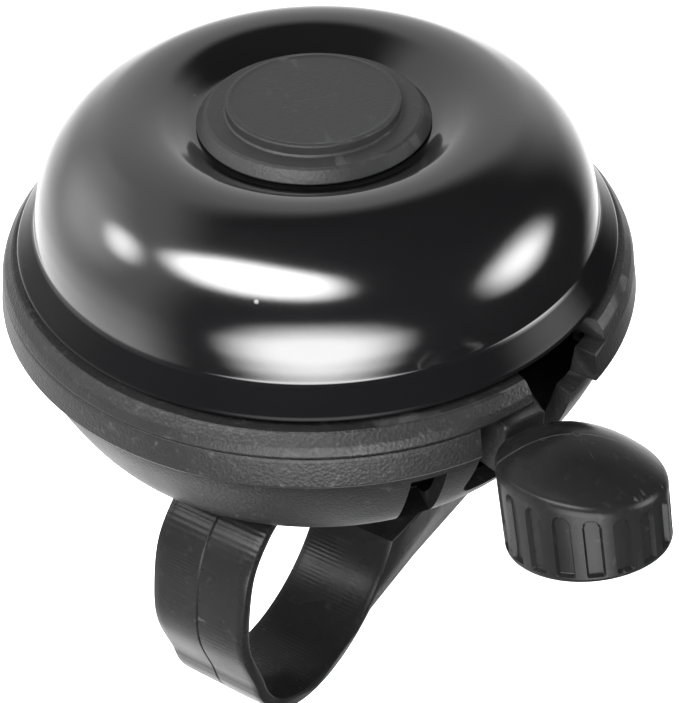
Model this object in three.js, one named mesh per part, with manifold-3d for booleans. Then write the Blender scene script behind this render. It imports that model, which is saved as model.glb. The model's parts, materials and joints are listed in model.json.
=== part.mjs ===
// Bicycle bell with a thumb lever, a geared striker and a hinged handlebar clamp. Millimetres, +Z up.
// The origin is the centre of the handlebar that the clamp closes on. +X runs along the handlebar
// towards the thumb lever, and +Z runs up along the bell's own axis.
import * as THREE from "three";
import { mergeVertices } from "three/addons/utils/BufferGeometryUtils.js";
import Module from "manifold-3d";

const wasm = await Module();
wasm.setup();

// ---------- Driving dimensions ----------
const ROUND = 48; // facets round a large turned piece
const SMALL_ROUND = 22; // facets round a small turned piece
const RUN_GAP = 0.06; // radial play of a turning piece on its pin

const barR = 12.7; // handlebar radius, for a 25.4 mm bar
const bellX = -2; // the bell's axis, seen from the handlebar's centre
const bellY = 6.5;
const grooveZ = 30; // height of the parting groove round the rim

const rimR = 27.5; // rim radius, for a 55 mm bell
const rimFlareR = 27.95; // lower edge of the base's rim band
const rimTopZ = 1.8;
const bandBottomZ = -2.75;
const bowlBottomZ = -13.75;
const bowlWall = 1.6;
const floorZ = bowlBottomZ + bowlWall;

const domeLipR = 25.9;
const domeLipZ = 2.85;
const domeCrownZ = 13.95;
const domeSeatZ = 12.2;
const domeWall = 0.9;
const domeHoleR = 2.3;

const capR = 9.76;
const capTopZ = 14.3;
const postR = 2;
const postTopZ = 12.9;

const gearModule = 0.7;
const rotorTeeth = 10;
const idlerTeeth = 26;
const idlerPinionTeeth = 8;
const sectorTeeth = 36;
const gearLevel = -8.6; // underside of the idler's large gear
const pinionLevel = -11.2; // underside of the idler's small gear and of the lever's sector
const gearThick = 1.8;

const leverX = 14.1; // lever pivot, from the bell's axis
const leverY = -5.13;
const leverPinR = 1.5;
const idlerPinR = 1.3;
const armBottomZ = -5.8;
const armTopZ = -0.5;
const armAngle = -28.2; // direction of the arm from its pivot, in degrees
const armLength = 13.1; // from the pivot to the outside of the rim
const springR = 3.3;

const knobX = 31.45; // middle of the knob's upper edge, from the bell's axis
const knobY = -14.15;
const knobTopZ = -0.1;
const knobR = 6.25;
const knobHeight = 6.1; // below the upper edge
const knobCrown = 2.87; // rise of the domed top above the upper edge
const knobSlope = [-0.19, -0.07]; // slope of the upper edge along the knob's own X and Y
const knobTilt = 19.3; // degrees, leaning in towards the bell
const knobLean = 146.5; // direction of the lean, in degrees
const knobFlutes = 18;

const rotorBottomZ = 0.6;
const rotorThick = 1.5;
const clapperRadius = 15.2; // distance of a clapper's pin from the bell's axis
const clapperR = 6;
const clapperHoleR = 3.2;
const clapperThick = 1.8;

const bandWidth = 9.6;
const bandThick = 1.2;
const bandInnerR = barR + 0.2;
const bandOuterR = bandInnerR + bandThick;
const hingeY = -9.8; // hinge pin, from the handlebar's centre
const hingeZ = 14.9;
const hingePinR = 0.6;
const knuckleR = 1.15;
const knuckleHalf = 2.3; // half the length of the strap's knuckle
const earWidth = 1.2; // each ear beside the knuckle
const openAngle = 10.5; // degrees that the clamp stands open at rest
const lugTopZ = -4.3;
const lugThick = 6;
const lugEndY = 34.4;
const screwY = 24;
const screwR = 1.9;
const saddleTopZ = grooveZ + bowlBottomZ - 0.1;
const legEndY = 31.5;
const nutBottomZ = 10.3;

// ---------- Geometry helpers ----------
const rad = THREE.MathUtils.degToRad;

function polar(radius, degrees) {
  return [radius * Math.cos(rad(degrees)), radius * Math.sin(rad(degrees))];
}

// Points along an arc, from one angle to another in degrees.
function arc(cx, cy, radius, from, to, steps) {
  return Array.from({ length: steps + 1 }, (_, i) => {
    const [x, y] = polar(radius, from + ((to - from) * i) / steps);
    return [cx + x, cy + y];
  });
}

// A smooth curve through the given points.
function smooth(points, steps) {
  const curve = new THREE.SplineCurve(points.map(([x, y]) => new THREE.Vector2(x, y)));
  return curve.getPoints(steps).map((p) => [p.x, p.y]);
}

// The same curve, moved sideways by a wall thickness (to the right of its direction).
function offset(points, wall) {
  return points.map(([x, y], i) => {
    const [x0, y0] = points[Math.max(i - 1, 0)];
    const [x1, y1] = points[Math.min(i + 1, points.length - 1)];
    const length = Math.hypot(x1 - x0, y1 - y0);
    return [x + ((y1 - y0) / length) * wall, y - ((x1 - x0) / length) * wall];
  });
}

function shapeOf(points) {
  return new THREE.Shape(points.map(([x, y]) => new THREE.Vector2(x, y)));
}

// A profile of [radius, height] points turned round Z.
function turned(profile, facets = ROUND) {
  const anticlockwise = THREE.ShapeUtils.area(shapeOf(profile).getPoints()) > 0;
  const ordered = anticlockwise ? profile : [...profile].reverse();
  const closed = [...ordered, ordered[0]].map(([r, z]) => new THREE.Vector2(r, z));
  return new THREE.LatheGeometry(closed, facets).rotateX(Math.PI / 2);
}

// A washer, a tube or, with no hole, a plain disc or pin.
function tube(outer, inner, bottom, top, facets = SMALL_ROUND) {
  if (inner > 0) {
    return turned([[inner, bottom], [outer, bottom], [outer, top], [inner, top]], facets);
  }
  return new THREE.CylinderGeometry(outer, outer, top - bottom, facets)
    .rotateX(Math.PI / 2)
    .translate(0, 0, (top + bottom) / 2);
}

// An outline in X and Y, raised from one height to another.
function raised(points, bottom, top) {
  return new THREE.ExtrudeGeometry(shapeOf(points), { depth: top - bottom, bevelEnabled: false })
    .translate(0, 0, bottom);
}

// An outline in Y and Z, drawn out along X from one place to another.
function drawnAlongX(points, from, to) {
  return new THREE.ExtrudeGeometry(shapeOf(points), { depth: to - from, bevelEnabled: false })
    .applyMatrix4(new THREE.Matrix4().set(0, 0, 1, from, 1, 0, 0, 0, 0, 1, 0, 0, 0, 0, 0, 1));
}

function block(x0, x1, y0, y1, z0, z1) {
  return new THREE.BoxGeometry(x1 - x0, y1 - y0, z1 - z0)
    .translate((x0 + x1) / 2, (y0 + y1) / 2, (z0 + z1) / 2);
}

// A slice of a disc between two angles, from an inner to an outer radius.
function slice(inner, outer, from, to, bottom, top, steps = 10) {
  const outline = [...arc(0, 0, outer, from, to, steps), ...arc(0, 0, inner, to, from, steps)];
  return raised(outline, bottom, top);
}

function solidOf(geometry) {
  const plain = geometry.clone();
  plain.deleteAttribute("normal");
  plain.deleteAttribute("uv");
  const merged = mergeVertices(plain, 1e-4);
  return new wasm.Manifold(new wasm.Mesh({
    numProp: 3,
    vertProperties: merged.attributes.position.array,
    triVerts: new Uint32Array(merged.index.array),
  }));
}

function geometryOf(solid) {
  const mesh = solid.getMesh();
  const geometry = new THREE.BufferGeometry();
  geometry.setAttribute("position", new THREE.BufferAttribute(mesh.vertProperties, 3));
  geometry.setIndex(new THREE.BufferAttribute(mesh.triVerts, 1));
  geometry.computeVertexNormals();
  return geometry;
}

// Joins the first list of geometries, then cuts the second list from them.
function built(joined, cut = []) {
  let solid = solidOf(joined[0]);
  for (const piece of joined.slice(1)) solid = solid.add(solidOf(piece));
  for (const piece of cut) solid = solid.subtract(solidOf(piece));
  return geometryOf(solid);
}

// Outline of a spur gear with straight-sided teeth. One tooth points along the start angle.
function gearOutline(teeth, startAngle, firstTooth = 0, lastTooth = teeth - 1) {
  const pitch = 360 / teeth;
  const pitchR = (teeth * gearModule) / 2;
  const tipR = pitchR + 0.75 * gearModule;
  const rootR = pitchR - 1.1 * gearModule;
  const outline = [];
  for (let i = firstTooth; i <= lastTooth; i++) {
    const middle = startAngle + i * pitch;
    outline.push(polar(rootR, middle - 0.29 * pitch));
    outline.push(polar(tipR, middle - 0.1 * pitch));
    outline.push(polar(tipR, middle + 0.1 * pitch));
    outline.push(polar(rootR, middle + 0.29 * pitch));
  }
  return outline;
}

const pitchRadius = (teeth) => (teeth * gearModule) / 2;

// The idler stands as far from the bell's axis as from the lever's pivot.
const idlerReach = pitchRadius(rotorTeeth) + pitchRadius(idlerTeeth);
const sectorReach = pitchRadius(idlerPinionTeeth) + pitchRadius(sectorTeeth);
const leverReach = Math.hypot(leverX, leverY);
const leverDirection = Math.atan2(leverY, leverX);
const alongLever = (idlerReach ** 2 - sectorReach ** 2 + leverReach ** 2) / (2 * leverReach);
const idlerSwing = Math.acos(alongLever / idlerReach);
const idlerX = idlerReach * Math.cos(leverDirection + idlerSwing);
const idlerY = idlerReach * Math.sin(leverDirection + idlerSwing);
const degrees = THREE.MathUtils.radToDeg;
const idlerFromAxis = degrees(Math.atan2(idlerY, idlerX));
const idlerFromLever = degrees(Math.atan2(idlerY - leverY, idlerX - leverX));

// Screws that fix the saddle under the bowl, seen from the handlebar's centre.
const saddleScrewPlaces = [[0, -5.4], [0, 16.6]];

// ---------- Materials ----------
function finish(colour, roughness, metalness = 0) {
  return new THREE.MeshStandardMaterial({ color: colour, roughness, metalness });
}

const blackLacquer = finish(0x060606, 0.08, 0.2);
const grainedPlastic = finish(0x161616, 0.5);
const capPlastic = finish(0x1c1c1c, 0.55);
const bandPlastic = finish(0x181818, 0.42);
const gearPlastic = finish(0xd8d4c8, 0.45);
const steel = finish(0xa8a8a8, 0.3, 1);
const brass = finish(0xb8934a, 0.35, 1);

// ---------- Base and rim ----------
// Bowl with its rim band. The lever's slot and a notch beside it are cut through the wall.
function baseShell() {
  const bowl = [[19, bowlBottomZ], [22.4, -12.8], [24, -11], [25.2, -8.7], [26.4, -5.7], [27, bandBottomZ]];
  const outer = [
    [0, bowlBottomZ],
    ...smooth(bowl, 10),
    [rimFlareR - 0.2, bandBottomZ],
    [rimFlareR, bandBottomZ + 0.3],
    [rimR, -0.5],
    [rimR - 0.4, -0.2],
  ];
  const inner = [
    [25.6, -0.2],
    [25.4, bandBottomZ],
    ...smooth([[25.4, bandBottomZ], [24.6, -6.2], [23.2, -9.6], [21.3, -11.6], [18.5, floorZ]], 7).slice(1),
    [0, floorZ],
  ];
  const peg = springPegPlace();
  const bosses = [
    tube(2.6, 0, floorZ - 0.5, -11.4).translate(leverX, leverY, 0),
    tube(2.4, 0, floorZ - 0.5, -11.4).translate(idlerX, idlerY, 0),
    tube(0.7, 0, floorZ - 0.5, armBottomZ - 0.4, 16).translate(peg[0], peg[1], 0),
  ];
  const cuts = [
    slice(22, 30, -31.7, -4.5, bandBottomZ, 1),
    slice(21, 30, -31, -9.5, -6.8, bandBottomZ + 0.1),
    block(20.5, 30, -1.5, 1.5, -12, bandBottomZ - 1.6).rotateZ(rad(-39.8)),
    tube(leverPinR + 0.02, 0, floorZ - 0.4, -6).translate(leverX, leverY, 0),
    tube(idlerPinR + 0.02, 0, floorZ - 0.4, -6).translate(idlerX, idlerY, 0),
    tube(postR + 0.02, 0, -15, -6),
    ...saddleScrewPlaces.map(([x, y]) => tube(1.1, 0, -15, -6).translate(x - bellX, y - bellY, 0)),
  ];
  return built([turned([...outer, ...inner]), ...bosses], cuts);
}

// Peg on the bowl's floor that holds the fixed leg of the return spring.
function springPegPlace() {
  const [alongX, alongY] = polar(5, armAngle);
  const [sideX, sideY] = polar(springR - 1, armAngle - 90);
  return [leverX + alongX + sideX, leverY + alongY + sideY];
}

function rimRing() {
  const profile = [
    [24.4, -1.6],
    [25, -1.6],
    [25, 0.15],
    [rimR - 0.4, 0.15],
    [rimR, 0.5],
    [rimR, rimTopZ - 0.5],
    [rimR - 0.35, rimTopZ - 0.15],
    [rimR - 1.3, rimTopZ],
    [25, rimTopZ],
    [24.4, rimTopZ - 0.4],
  ];
  return built([turned(profile)], [slice(23, 30, -21, 0, -3, 4), slice(23, 25.15, -33, 1, -3, 0.1)]);
}

// ---------- Dome and its fastening ----------
function dome() {
  const skin = [
    [domeHoleR, domeSeatZ],
    ...smooth(
      [
        [capR, domeSeatZ],
        [11.7, 13.05],
        [14.7, domeCrownZ],
        [18.3, 12.9],
        [21, 10.95],
        [22.9, 8.7],
        [23.8, 6.3],
        [24.1, 4.4],
        [24.6, 3.5],
        [domeLipR - 0.2, domeLipZ],
      ],
      18,
    ),
    [domeLipR, domeLipZ - 0.1],
  ];
  const lining = offset(skin, domeWall).reverse();
  lining[0] = [domeLipR, domeLipZ - domeWall];
  lining[lining.length - 1] = [domeHoleR, domeSeatZ - domeWall];
  return turned([...skin, ...lining]);
}

// Stepped cap with a hollow underneath for its threaded insert.
function capNut() {
  const profile = [
    [4.3, domeSeatZ + 0.1],
    [capR - 0.2, domeSeatZ + 0.1],
    [capR, domeSeatZ + 0.3],
    [9, 13.2],
    [8.7, 13.35],
    [7.4, 13.35],
    [7.2, 13.55],
    [7.2, capTopZ - 0.15],
    [7, capTopZ],
    [0, capTopZ],
    [0, 13.5],
    [4.3, 13.5],
  ];
  return turned(profile, 56);
}

function capInsert() {
  return tube(4.22, postR + 0.04, domeSeatZ + 0.1, 13.4);
}

function centrePost() {
  const profile = [
    [0, bowlBottomZ + 0.1],
    [postR, bowlBottomZ + 0.1],
    [postR, floorZ + 0.1],
    [3.1, floorZ + 0.1],
    [3.1, -9.7],
    [postR, -9.7],
    [postR, postTopZ - 0.4],
    [postR - 0.4, postTopZ],
    [0, postTopZ],
  ];
  return turned(profile, SMALL_ROUND);
}

function domeSpacer() {
  return tube(3.2, postR + 0.05, rotorBottomZ + rotorThick + 0.75, 10.5);
}

function domeWasher() {
  return tube(6, postR + 0.05, 10.6, domeSeatZ - domeWall - 0.05, 36);
}

// ---------- Striker ----------
// A bar with a small gear under its hub. Each end has a pin that a loose clapper hangs on.
function rotor() {
  const top = rotorBottomZ + rotorThick;
  const bar = raised(
    [
      ...arc(clapperRadius, 0, 2.4, -90, 90, 8),
      ...arc(0, 0, 4.6, 35, 145, 8),
      ...arc(-clapperRadius, 0, 2.4, 90, 270, 8),
      ...arc(0, 0, 4.6, 215, 325, 8),
    ],
    rotorBottomZ,
    top,
  );
  const pins = [1, -1].map((side) => tube(1.5, 0, top - 0.5, 5, 20).translate(side * clapperRadius, 0, 0));
  const gear = raised(gearOutline(rotorTeeth, idlerFromAxis), gearLevel - 0.2, gearLevel + gearThick + 0.2);
  const hub = tube(3, 0, gearLevel + gearThick, top + 0.5);
  return built([bar, hub, gear, ...pins], [tube(postR + RUN_GAP, 0, -10, 9)]);
}

function rotorWasher() {
  return tube(3.3, postR + 0.05, -9.6, gearLevel - 0.3);
}

function clapper() {
  const bottom = rotorBottomZ + rotorThick + 0.15;
  return tube(clapperR, clapperHoleR, bottom, bottom + clapperThick, 36);
}

function clapperClip() {
  return tube(4.9, 1.52, 4.2, 4.7);
}

// ---------- Idler ----------
// The teeth stand in mesh at rest: the large gear has a gap facing the rotor's gear, and the small
// gear has a gap facing the lever's sector.
function idlerGear() {
  const largePitch = 360 / idlerTeeth;
  const smallPitch = 360 / idlerPinionTeeth;
  const large = gearOutline(idlerTeeth, idlerFromAxis + 180 + largePitch / 2);
  const small = gearOutline(idlerPinionTeeth, idlerFromLever + 180 + smallPitch / 2);
  return built(
    [
      raised(large, gearLevel, gearLevel + gearThick),
      raised(small, pinionLevel, gearLevel + 0.2),
      tube(2.4, 0, gearLevel, gearLevel + gearThick + 0.5),
    ],
    [tube(idlerPinR + RUN_GAP, 0, -14, 0)],
  );
}

function idlerPin() {
  return tube(idlerPinR, 0, floorZ - 0.3, -5.5);
}

function idlerClip() {
  return tube(2.3, idlerPinR + 0.02, -6.1, -5.7);
}

// ---------- Thumb lever ----------
// The frame of the knob: its origin is the middle of its upper edge.
function atKnob(geometry) {
  const lean = new THREE.Vector3(...polar(1, knobLean + 90), 0);
  return geometry
    .applyMatrix4(new THREE.Matrix4().makeRotationAxis(lean, rad(knobTilt)))
    .translate(knobX, knobY, knobTopZ);
}

// Hub with a toothed sector low down and an arm above it that ends in the knob's tongue.
function thumbLever() {
  const sector = gearOutline(sectorTeeth, idlerFromLever, -3, 1);
  const fan = raised([[0, 0], ...sector], pinionLevel, pinionLevel + 2.2);
  const hub = tube(2.6, 0, pinionLevel, armTopZ);
  const armOutline = [[0, -2.9], [8, -2.9], [armLength, -1.9], [armLength, 1.9], [8, 2.9], [0, 2.9]];
  const arm = raised(armOutline, armBottomZ, armTopZ).rotateZ(rad(armAngle));
  const atPivot = [hub, fan, arm].map((piece) => piece.translate(leverX, leverY, 0));
  const tongue = atKnob(tube(4.9, 0, -5.2, -2.1));
  const bridge = block(armLength - 2, 18, -1.9, 1.9, armBottomZ, -4.1)
    .rotateZ(rad(armAngle))
    .translate(leverX, leverY, 0);
  const bore = tube(leverPinR + RUN_GAP, 0, -14, 4).translate(leverX, leverY, 0);
  return built([...atPivot, tongue, bridge], [bore]);
}

// Everything above the knob's domed and slanting top.
function aboveKnobCrown() {
  const radii = [0, 1, 2, 3, 4, 5, 5.8, knobR, 7.5];
  const crown = radii.map((r) => [r, knobCrown * (1 - (r / knobR) ** 2)]).reverse();
  const under = turned([[0, -9], [7.5, -9], ...crown], 54).applyMatrix4(
    new THREE.Matrix4().set(1, 0, 0, 0, 0, 1, 0, 0, ...knobSlope, 1, 0, 0, 0, 0, 1),
  );
  return built([tube(7, 0, -2.4, 6, 54)], [under]);
}

// Fluted knob, hollow underneath, that caps the lever's tongue.
function thumbKnob() {
  const pitch = 360 / knobFlutes;
  const outline = [];
  for (let i = 0; i < knobFlutes; i++) {
    const middle = i * pitch;
    outline.push(polar(knobR, middle - 0.27 * pitch));
    outline.push(polar(knobR, middle + 0.27 * pitch));
    outline.push(polar(knobR - 0.5, middle + 0.36 * pitch));
    outline.push(polar(knobR - 0.5, middle + 0.64 * pitch));
  }
  const fluted = raised(outline, -knobHeight, -2.4);
  const top = tube(knobR, 0, -2.6, 4.5, 54);
  const hollow = tube(5.2, 0, -9, -1.8, 40);
  const mouth = block(-9, 0, -2.3, 2.3, -9, -1.8).rotateZ(rad(armAngle));
  return atKnob(built([fluted, top], [aboveKnobCrown(), hollow, mouth]));
}

function leverPin() {
  return tube(leverPinR, 0, floorZ - 0.3, 0.2);
}

function leverClip() {
  return tube(2.5, leverPinR + 0.02, armTopZ + 0.1, 0);
}

// Torsion spring round the lever's hub: one leg on the peg, one along the arm's side.
class SpringPath extends THREE.Curve {
  getPoint(t, target = new THREE.Vector3()) {
    const fixedLeg = 0.12;
    const freeLeg = 0.88;
    const along = THREE.MathUtils.clamp((t - fixedLeg) / (freeLeg - fixedLeg), 0, 1);
    const angle = rad(armAngle + 90) + (1 - along) * 2.5 * 2 * Math.PI;
    const leg = (Math.min(t - fixedLeg, 0) + Math.max(t - freeLeg, 0)) * 52;
    return target.set(
      springR * Math.cos(angle) + leg * Math.sin(angle),
      springR * Math.sin(angle) - leg * Math.cos(angle),
      -8.4 + along * 3.1,
    );
  }
}

function returnSpring() {
  const wire = shapeOf(arc(0, 0, 0.22, 0, 315, 7));
  return new THREE.ExtrudeGeometry(wire, { steps: 60, bevelEnabled: false, extrudePath: new SpringPath() });
}

// ---------- Handlebar clamp ----------
// Drawn closed round the handlebar, then swung open about the hinge.
function swungOpen(geometry) {
  return geometry
    .translate(0, -hingeY, -hingeZ)
    .rotateX(rad(-openAngle))
    .translate(0, hingeY, hingeZ);
}

// Middle of the strap where it stands off the bar, from the hinge down to the round part.
function strapShoulder() {
  const middleR = (bandInnerR + bandOuterR) / 2;
  const points = [[hingeY, hingeZ], [-12.9, 13.3], [-15.3, 10.1], [-15.8, 5], [-15.2, 0.8]];
  return smooth([...points, polar(middleR, 198), polar(middleR, 206)], 26).slice(0, -4);
}

// Strap that hangs from the hinge, runs round the bar and ends in a lug for the screw.
function clampBand() {
  const lugBottomZ = lugTopZ - lugThick;
  const lugStart = degrees(Math.asin(lugTopZ / bandInnerR)) + 360;
  const lugMeets = degrees(Math.asin(lugBottomZ / bandOuterR)) + 360;
  const shoulder = strapShoulder();
  const outline = [
    ...offset(shoulder, bandThick / 2),
    ...arc(0, 0, bandOuterR, 207, lugMeets - 5, 24),
    [18, lugBottomZ + 0.1],
    [lugEndY - 0.8, lugBottomZ + 0.3],
    [lugEndY, lugBottomZ + 1.1],
    [lugEndY, lugTopZ - 0.6],
    [lugEndY - 0.6, lugTopZ],
    ...arc(0, 0, bandInnerR, lugStart, 207, 24),
    ...offset(shoulder, -bandThick / 2).reverse(),
  ];
  const strap = drawnAlongX(outline, -bandWidth / 2, bandWidth / 2);
  const knuckle = alongX(knuckleR, -knuckleHalf, knuckleHalf);
  const shoulders = [-1, 1].map((side) => alongX(knuckleR + 0.3, side * 4.4 - 2, side * 4.4 + 2));
  const screwHole = tube(screwR + 0.25, 0, -20, 4).translate(0, screwY, 0);
  const cut = built([strap], shoulders);
  return swungOpen(built([cut, knuckle], [alongX(hingePinR + RUN_GAP, -9, 9), screwHole]));
}

// A rod along the hinge's line.
function alongX(radius, from, to) {
  return tube(radius, 0, from, to).rotateY(Math.PI / 2).translate(0, hingeY, hingeZ);
}

// Block under the bowl: a seat for the bar, ears for the hinge and a hollow leg for the screw.
function clampSaddle() {
  const half = bandWidth / 2;
  const body = drawnAlongX(
    [
      [-7.6, 8],
      [13.2, lugTopZ + 0.7],
      [legEndY - 0.8, lugTopZ + 0.7],
      [legEndY, lugTopZ + 1.5],
      [legEndY, saddleTopZ - 2.4],
      [legEndY - 3.4, saddleTopZ],
      [-7.6, saddleTopZ],
    ],
    -half,
    half,
  );
  const earStart = knuckleHalf + 0.3;
  const ears = [earStart, -earStart - earWidth].map((from) => drawnAlongX(
    [[-7, hingeZ - knuckleR], [-7, saddleTopZ], ...arc(hingeY, hingeZ, knuckleR, 90, 270, 12)],
    from,
    from + earWidth,
  ));
  const cuts = [
    tube(barR + 0.15, 0, -20, 20, ROUND).rotateY(Math.PI / 2),
    block(-20, 20, -12, 13.2, -9, 0.5),
    block(-3.55, 3.55, 14.8, legEndY - 1.6, -9, nutBottomZ - 0.3),
    block(-3.5, 3.5, screwY - 4.05, screwY + 4.05, 0, nutBottomZ + 3.4),
    alongX(hingePinR + 0.02, -9, 9),
    ...saddleScrewPlaces.map(([x, y]) => tube(1.02, 0, 12.1, 20).translate(x, y, 0)),
  ];
  return built([body, ...ears], cuts);
}

function saddleScrew(x, y) {
  const floor = grooveZ + floorZ;
  const head = turned([[0, floor + 0.1], [2, floor + 0.1], [1.6, floor + 0.7], [0, floor + 0.85]], 24);
  return built([head, tube(1, 0, 12.3, floor + 0.3, 24)]).translate(x, y, 0);
}

function hingePin() {
  return alongX(hingePinR, -knuckleHalf - 1.45, knuckleHalf + 1.45);
}

// Pan-head machine screw with a cross recess, seated under the clamp's lug.
function clampScrew() {
  const seatZ = lugTopZ - lugThick + 0.1;
  const head = turned(
    [[0, seatZ - 2.6], [2.2, seatZ - 2.5], [3.5, seatZ - 1.5], [3.75, seatZ - 0.2], [0, seatZ - 0.2]],
    SMALL_ROUND,
  );
  const shank = tube(screwR, 0, seatZ - 0.5, 13);
  const cross = [0, 1].map((turn) =>
    block(-1.7, 1.7, -0.35, 0.35, seatZ - 3, seatZ - 1.3).rotateZ((turn * Math.PI) / 2));
  return swungOpen(built([head, shank], cross).translate(0, screwY, 0));
}

function clampNut() {
  const sides = Array.from({ length: 6 }, (_, i) => polar(3.92, 60 * i + 30));
  const hex = raised(sides, nutBottomZ, nutBottomZ + 3);
  return built([hex], [tube(screwR + 0.35, 0, 0, 20)]).translate(0, screwY, 0);
}

// ---------- Assembly ----------
function part(name, geometry, material) {
  const mesh = new THREE.Mesh(geometry, material);
  mesh.name = name;
  return mesh;
}

function placed(x, y, ...meshes) {
  const group = new THREE.Group();
  group.position.set(x, y, 0);
  group.add(...meshes);
  return group;
}

const bell = new THREE.Group();
bell.position.set(bellX, bellY, grooveZ);
bell.add(
  part("base_shell", baseShell(), grainedPlastic),
  part("rim_ring", rimRing(), grainedPlastic),
  part("dome", dome(), blackLacquer),
  part("cap_nut", capNut(), capPlastic),
  part("cap_insert", capInsert(), brass),
  part("centre_post", centrePost(), steel),
  part("dome_spacer", domeSpacer(), steel),
  part("dome_washer", domeWasher(), steel),
  part("rotor", rotor(), gearPlastic),
  part("rotor_washer", rotorWasher(), steel),
  placed(
    clapperRadius,
    0,
    part("clapper_a", clapper(), steel),
    part("clapper_clip_a", clapperClip(), steel),
  ),
  placed(
    -clapperRadius,
    0,
    part("clapper_b", clapper(), steel),
    part("clapper_clip_b", clapperClip(), steel),
  ),
  placed(
    idlerX,
    idlerY,
    part("idler_gear", idlerGear(), gearPlastic),
    part("idler_pin", idlerPin(), steel),
    part("idler_clip", idlerClip(), steel),
  ),
  part("thumb_lever", thumbLever(), grainedPlastic),
  part("thumb_knob", thumbKnob(), bandPlastic),
  placed(
    leverX,
    leverY,
    part("lever_pin", leverPin(), steel),
    part("lever_clip", leverClip(), steel),
    part("return_spring", returnSpring(), steel),
  ),
);

const clamp = new THREE.Group();
const [hingeSideScrew, legSideScrew] = saddleScrewPlaces;
clamp.add(
  part("clamp_saddle", clampSaddle(), bandPlastic),
  part("saddle_screw_a", saddleScrew(...hingeSideScrew), steel),
  part("saddle_screw_b", saddleScrew(...legSideScrew), steel),
  part("clamp_band", clampBand(), bandPlastic),
  part("hinge_pin", hingePin(), steel),
  part("clamp_screw", clampScrew(), steel),
  part("clamp_nut", clampNut(), steel),
);

const bicycleBell = new THREE.Group();
bicycleBell.add(bell, clamp);

export default bicycleBell;
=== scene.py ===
"""Bicycle bell: the visible surfaces of the bell, its thumb lever and its handlebar clamp."""

import json
import math

import bmesh
import bpy
from bpy.props import FloatProperty, FloatVectorProperty, IntProperty, PointerProperty
from mathutils import Matrix, Vector


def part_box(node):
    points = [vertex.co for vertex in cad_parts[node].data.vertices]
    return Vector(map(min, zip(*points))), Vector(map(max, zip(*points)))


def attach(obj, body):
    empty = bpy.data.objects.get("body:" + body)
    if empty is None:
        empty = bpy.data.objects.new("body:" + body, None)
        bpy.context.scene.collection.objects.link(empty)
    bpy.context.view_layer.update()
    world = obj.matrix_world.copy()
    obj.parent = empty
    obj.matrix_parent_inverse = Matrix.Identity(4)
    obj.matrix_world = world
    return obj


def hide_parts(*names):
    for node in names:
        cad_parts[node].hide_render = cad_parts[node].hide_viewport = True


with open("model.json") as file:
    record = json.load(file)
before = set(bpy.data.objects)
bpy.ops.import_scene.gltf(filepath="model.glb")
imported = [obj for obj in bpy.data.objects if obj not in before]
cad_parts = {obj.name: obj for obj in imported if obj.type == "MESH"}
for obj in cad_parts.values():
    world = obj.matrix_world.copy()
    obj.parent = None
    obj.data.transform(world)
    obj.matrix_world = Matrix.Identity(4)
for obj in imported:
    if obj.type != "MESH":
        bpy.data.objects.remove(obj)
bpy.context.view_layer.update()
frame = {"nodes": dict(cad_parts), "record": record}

bl_info = {
    "name": "Bicycle bell",
    "version": (1, 0, 0),
    "blender": (4, 5, 0),
    "location": "3D View > Sidebar > Bell",
    "description": "Builds the bell's dome, cap, rim, base, thumb lever and handlebar clamp",
    "category": "Add Mesh",
}

MM = 0.001

# Millimetres and degrees. BELL, on the bell's axis, HINGE and SCREW are measured from the middle of the
# handlebar, and the other places from BELL.
BELL = Vector((-2.0, 6.5, 30.0))
HINGE = Vector((0.0, -9.8, 14.9))
SCREW = Vector((0, 24, 0))
LEVER_PIVOT = Vector((14.1, -5.13, 0.0))
KNOB = Vector((31.45, -14.15, -0.1))
KNOB_LEAN = 19.3
KNOB_LEANS_TO = 146.5
ARM_ANGLE = -28.2
BAR_RADIUS = 12.7
OPEN_ANGLE = 10.5
BAND_THICK = 1.2
KNUCKLE_RADIUS = 1.15
KNUCKLE_HALF = 2.3
# Below this height the dome's lacquer loses its specular and coat, coming back by GLOSSY_FROM: painted
# shade for the recess between the dome and the rim.
PAINTED_SHADE_TOP = 4.3
GLOSSY_FROM = 4.8


# ---------- Sizes and colours a user may change ----------


def metres(name, description, default, low, high):
    """A length in metres."""
    return FloatProperty(name=name, description=description, default=default, min=low, max=high,
                         unit="LENGTH", subtype="DISTANCE")


def rgb(name, description, default):
    """A linear colour."""
    return FloatVectorProperty(name=name, description=description, default=default, size=3,
                               min=0, max=1, subtype="COLOR")


class BellSizes(bpy.types.PropertyGroup):
    """Sizes of the visible pieces"""

    dome_wall: metres("Dome wall", "Thickness of the dome's pressed sheet", 0.0009, 0.0005, 0.0015)
    cap_radius: metres("Cap radius", "Radius of the cap's lower flange", 0.00976, 0.006, 0.012)
    knob_radius: metres("Knob radius", "Radius of the thumb knob over its flutes", 0.00625, 0.005, 0.007)
    flute_depth: metres("Flute depth", "Depth of the grooves round the knob", 0.00034, 0.0, 0.0007)
    flutes: IntProperty(
        name="Flutes", description="Number of grooves round the knob", default=18, min=8, max=36,
    )
    ridge_height: metres("Ridge height", "Height of the moulded ridges across the clamp's strap",
                         0.00002, 0.0, 0.0002)
    turning_steps: IntProperty(
        name="Turning steps", description="Facets round a turned piece", default=240, min=48, max=720,
    )


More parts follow.
